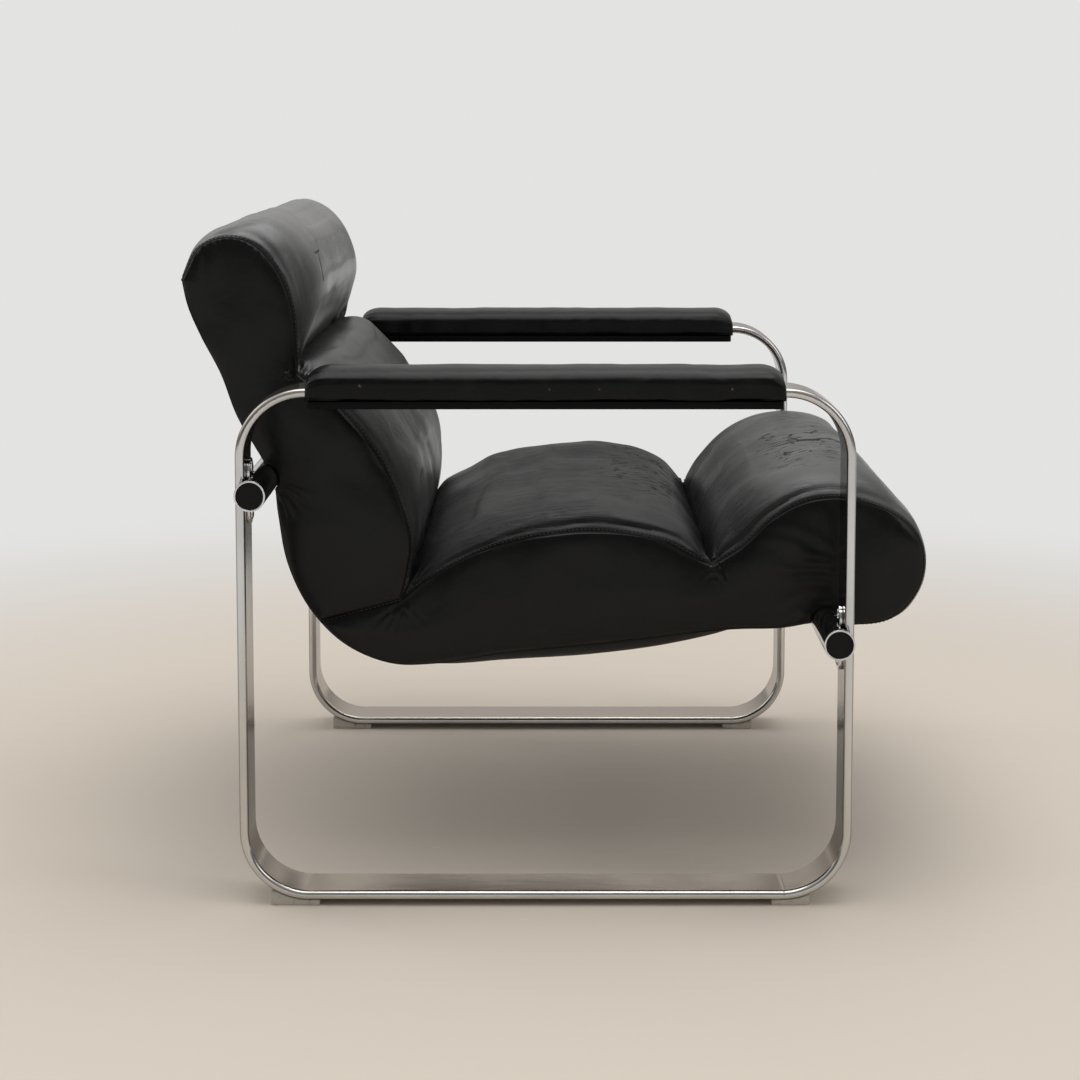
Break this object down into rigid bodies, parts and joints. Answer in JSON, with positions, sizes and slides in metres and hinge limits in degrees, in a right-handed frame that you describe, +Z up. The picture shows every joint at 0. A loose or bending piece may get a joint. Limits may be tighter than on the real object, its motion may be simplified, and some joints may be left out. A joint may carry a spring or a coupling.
{
  "type": "upholstered lounge chair",
  "caption": "Low lounge chair with a one-piece black leather shell of padded rolls slung between closed chromed tube side loops with padded armrests.",
  "frame": {"origin": "on the floor, in the middle of the chair's overall length and width", "axes": "+X to the front, where the sitter faces; +Y to the chair's left; +Z up"},
  "size_m": [0.8166, 0.748, 0.73],
  "materials": {
    "chromed_tube": "polished, softly brushed by wear",
    "chromed_bar": "polished",
    "end_plug": "satin black",
    "chromed_plate": "polished",
    "bright_screw": "polished",
    "brass_insert": "plain",
    "glide": "off-white, rough",
    "armrest_core": "plain plywood",
    "foam": "open foam",
    "armrest_leather": "black, lightly grained, satin",
    "armrest_base": "black, matt",
    "steel_screw": "zinc plated",
    "frame_steel": "black",
    "webbing": "rubber with a textile core",
    "clip_steel": "zinc plated",
    "roll_leather": "black, worn, satin sheen, fine cracks",
    "side_leather": "black, satin",
    "rear_leather": "black, satin",
    "lining": "black cloth"
  },
  "bodies": {
    "root": {"left_side_frame": "chromed_tube", "right_side_frame": "chromed_tube", "rear_crossbar": "chromed_bar", "front_crossbar": "chromed_bar", "rear_crossbar_plugs": "end_plug", "front_crossbar_plugs": "end_plug", "rear_mounting_plates": "chromed_plate", "front_mounting_plates": "chromed_plate", "rear_plate_screws": "bright_screw", "front_plate_screws": "bright_screw", "rear_plate_inserts": "brass_insert", "front_plate_inserts": "brass_insert", "rear_glides": "glide", "front_glides": "glide", "left_armrest_core": "armrest_core", "left_armrest_foam": "foam", "left_armrest_cover": "armrest_leather", "left_armrest_base": "armrest_base", "left_armrest_screws": "steel_screw", "right_armrest_core": "armrest_core", "right_armrest_foam": "foam", "right_armrest_cover": "armrest_leather", "right_armrest_base": "armrest_base", "right_armrest_screws": "steel_screw", "left_frame_rail": "frame_steel", "right_frame_rail": "frame_steel", "headrest_cross_member": "frame_steel", "lumbar_cross_member": "frame_steel", "lower_cross_member": "frame_steel", "front_cross_member": "frame_steel", "rear_bar_brackets": "frame_steel", "front_bar_brackets": "frame_steel", "bracket_bolts": "steel_screw", "bracket_nuts": "steel_screw", "back_webbing": "webbing", "seat_webbing": "webbing", "back_webbing_clips": "clip_steel", "seat_webbing_clips": "clip_steel", "headrest_foam": "foam", "headrest_cover": "roll_leather", "back_foam": "foam", "back_cover": "roll_leather", "seat_foam": "foam", "seat_cover": "roll_leather", "front_roll_foam": "foam", "front_roll_cover": "roll_leather", "left_back_side_panel": "side_leather", "left_seat_side_panel": "side_leather", "right_back_side_panel": "side_leather", "right_seat_side_panel": "side_leather", "rear_foam": "foam", "rear_cover": "rear_leather", "bottom_lining": "lining", "front_underside_pad": "rear_leather"}
  },
  "joints": []
}
